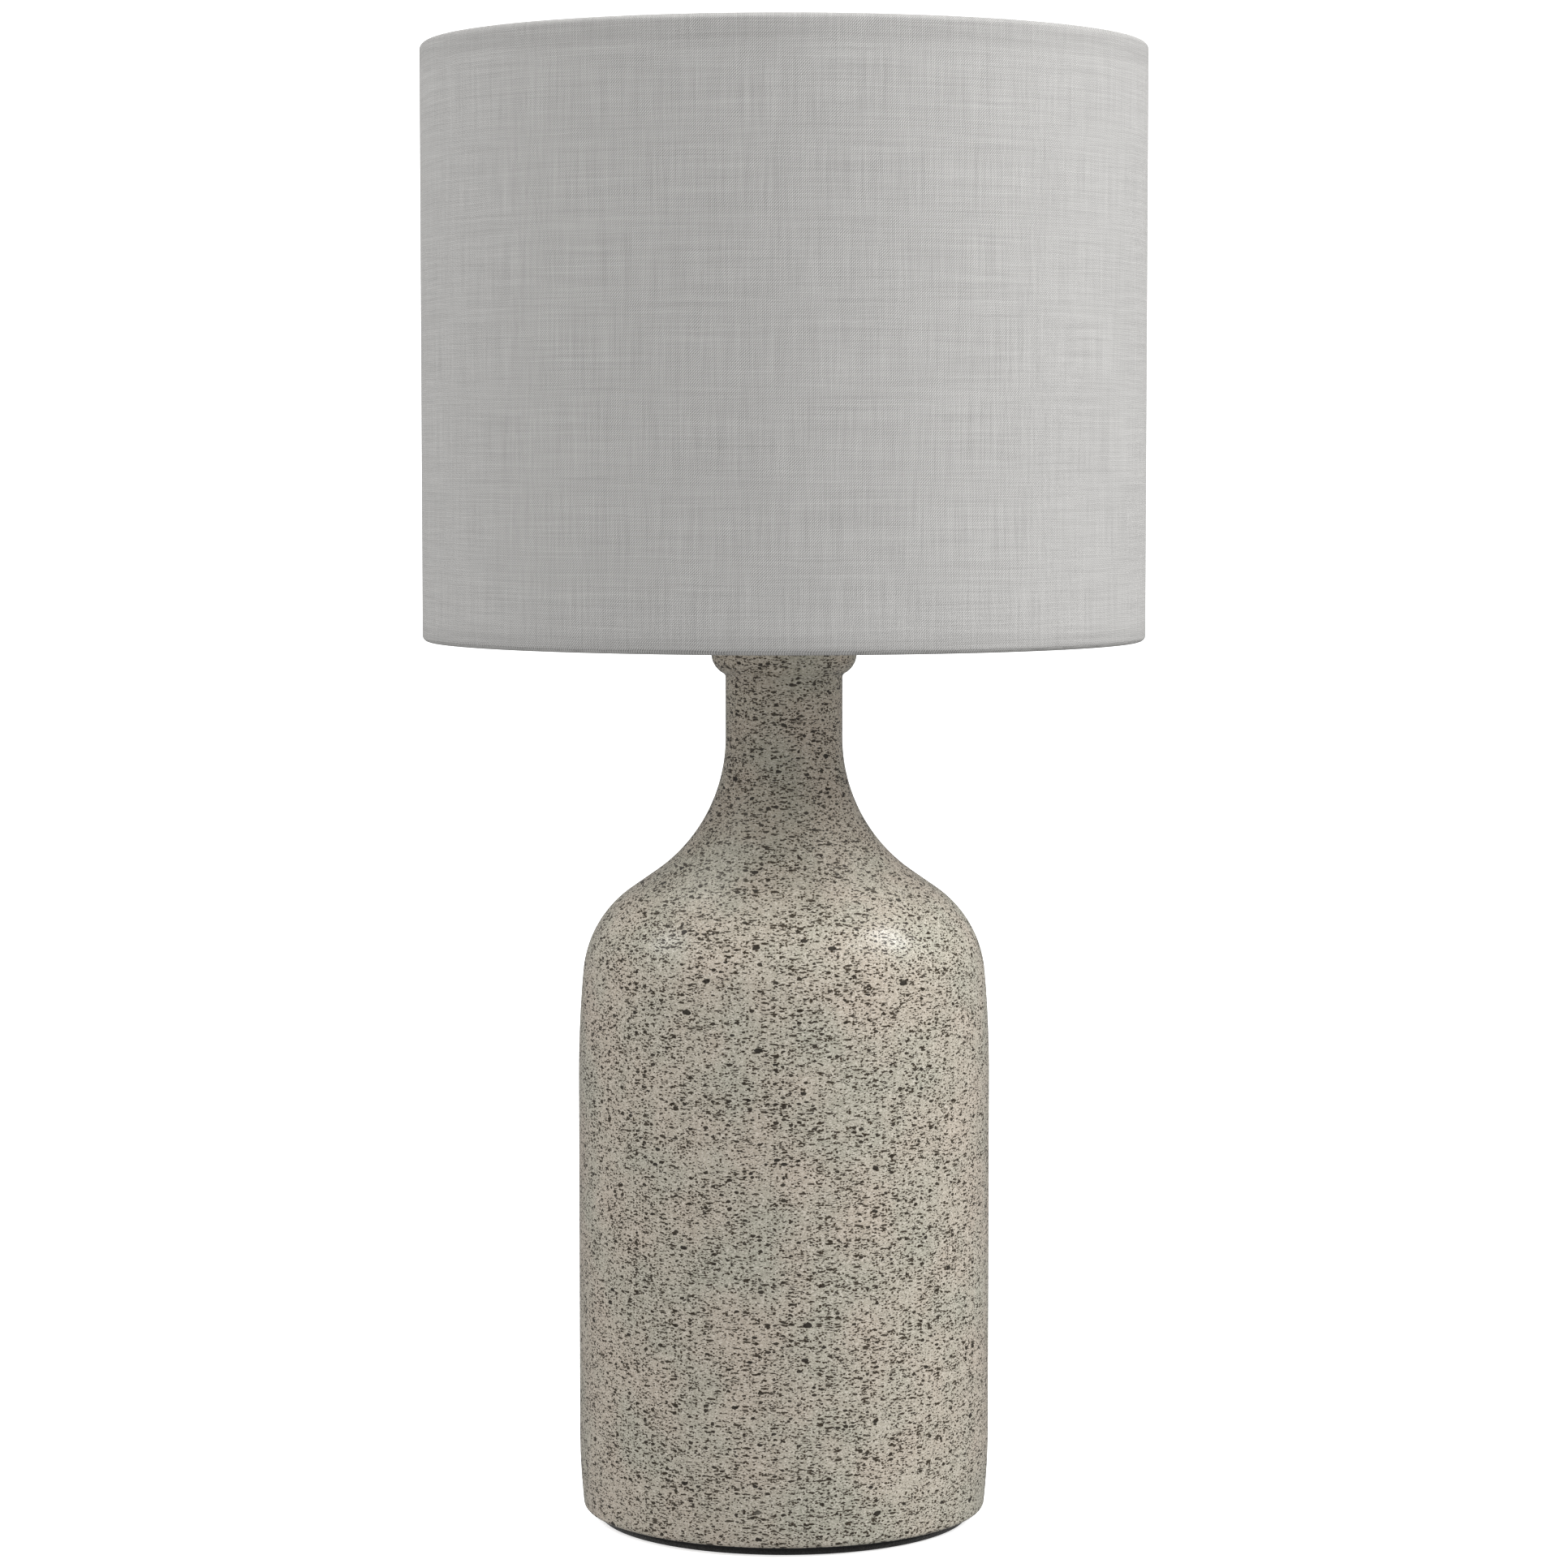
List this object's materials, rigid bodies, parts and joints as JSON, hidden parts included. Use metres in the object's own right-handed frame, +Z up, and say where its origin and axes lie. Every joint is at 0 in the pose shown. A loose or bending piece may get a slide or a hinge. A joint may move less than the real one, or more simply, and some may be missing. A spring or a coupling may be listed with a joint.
{
  "type": "table lamp with shade",
  "caption": "Ceramic bottle table lamp on a black foot, with a socket and bulb inside a harp that carries a linen drum shade.",
  "frame": {"origin": "on the lamp's vertical axis, at the surface it stands on", "axes": "+Z up; -Y towards the front, where the switch knob points; +Y towards the back, where the cord leaves; the harp stands in the XZ plane"},
  "size_m": [0.3048, 0.3048, 0.6232],
  "materials": {
    "speckled_glaze": "semi-gloss warm grey-beige glaze with dense brown speckle",
    "black_enamel": "satin black",
    "black_felt": "short pressed felt",
    "black_nylon": "fine moulded texture",
    "zinc_steel": "zinc plated",
    "satin_nickel": "satin nickel plate",
    "liner_paper": "brown insulating paper",
    "black_phenolic": "moulded phenolic",
    "socket_brass": "bright brass",
    "gold_insulation": "clear gold vinyl",
    "white_insulation": "white vinyl",
    "white_wire": "white powder coat",
    "white_styrene": "matt white sheet",
    "grey_linen": "plain-woven linen with slubs",
    "bulb_metal": "rolled thread shell",
    "black_glass": "glassy black",
    "bulb_white": "moulded white",
    "opal_globe": "opal diffuser",
    "white_board": "white solder mask",
    "green_board": "green solder mask"
  },
  "bodies": {
    "lamp_base": {"foot_pad": "black_felt", "foot_plate": "black_enamel", "ceramic_body": "speckled_glaze", "cord_bushing": "black_nylon", "bushing_nut": "black_nylon", "threaded_nipple": "zinc_steel", "neck_washer": "zinc_steel", "lower_nut": "zinc_steel", "vase_cap": "satin_nickel", "upper_nut": "zinc_steel", "lock_washer": "zinc_steel", "harp_saddle": "satin_nickel", "socket_cap": "satin_nickel", "socket_shell": "satin_nickel", "socket_liner": "liner_paper", "socket_core": "black_phenolic", "screw_shell": "socket_brass", "centre_contact": "socket_brass", "terminal_screws": "socket_brass", "live_lead": "gold_insulation", "neutral_lead": "white_insulation"},
    "switch": {"switch_stem": "socket_brass", "switch_knob": "black_nylon"},
    "bulb": {"bulb_contact": "bulb_metal", "bulb_insulator": "black_glass", "bulb_cap": "bulb_metal", "bulb_housing": "bulb_white", "bulb_globe": "opal_globe", "led_board": "white_board", "driver_board": "green_board"},
    "harp": {"harp_wire": "satin_nickel", "harp_stud": "satin_nickel"},
    "sleeve_left": {"harp_sleeve_left": "satin_nickel"},
    "sleeve_right": {"harp_sleeve_right": "satin_nickel"},
    "shade_seat": {"shade_washer": "satin_nickel"},
    "shade": {"spider_hub": "satin_nickel", "spider_arm_1": "satin_nickel", "spider_arm_2": "satin_nickel", "spider_arm_3": "satin_nickel", "top_ring": "white_wire", "bottom_ring": "white_wire", "shade_liner": "white_styrene", "shade_fabric": "grey_linen"},
    "finial_seat": {"finial_washer": "satin_nickel"},
    "finial": {"finial": "satin_nickel"}
  },
  "joints": [
    {"name": "knob_turn", "type": "hinge", "parent": "lamp_base", "child": "switch", "pos_m": [0, -0.03, 0.409], "axis": [0, -1, 0], "continuous": true},
    {"name": "bulb_out", "type": "slide", "parent": "lamp_base", "child": "bulb", "axis": [0, 0, 1], "range_m": [0, 0.025]},
    {"name": "harp_lift", "type": "slide", "parent": "lamp_base", "child": "harp", "axis": [0, 0, 1], "range_m": [0, 0.02]},
    {"name": "sleeve_left_lift", "type": "slide", "parent": "harp", "child": "sleeve_left", "axis": [0, 0, 1], "range_m": [0, 0.012]},
    {"name": "sleeve_right_lift", "type": "slide", "parent": "harp", "child": "sleeve_right", "axis": [0, 0, 1], "range_m": [0, 0.012]},
    {"name": "shade_lift", "type": "slide", "parent": "harp", "child": "shade_seat", "axis": [0, 0, 1], "range_m": [0, 0.25]},
    {"name": "shade_turn", "type": "hinge", "parent": "shade_seat", "child": "shade", "pos_m": [0, 0, 0.5985], "axis": [0, 0, 1], "continuous": true},
    {"name": "finial_lift", "type": "slide", "parent": "shade", "child": "finial_seat", "axis": [0, 0, 1], "range_m": [0, 0.0055]},
    {"name": "finial_turn", "type": "hinge", "parent": "finial_seat", "child": "finial", "pos_m": [0, 0, 0.6003], "axis": [0, 0, 1], "range_deg": [0, 1800]}
  ],
  "couplings": [
    {"joint": "finial_lift", "follows": "finial_turn", "m_per_rad": 0.00014972}
  ]
}
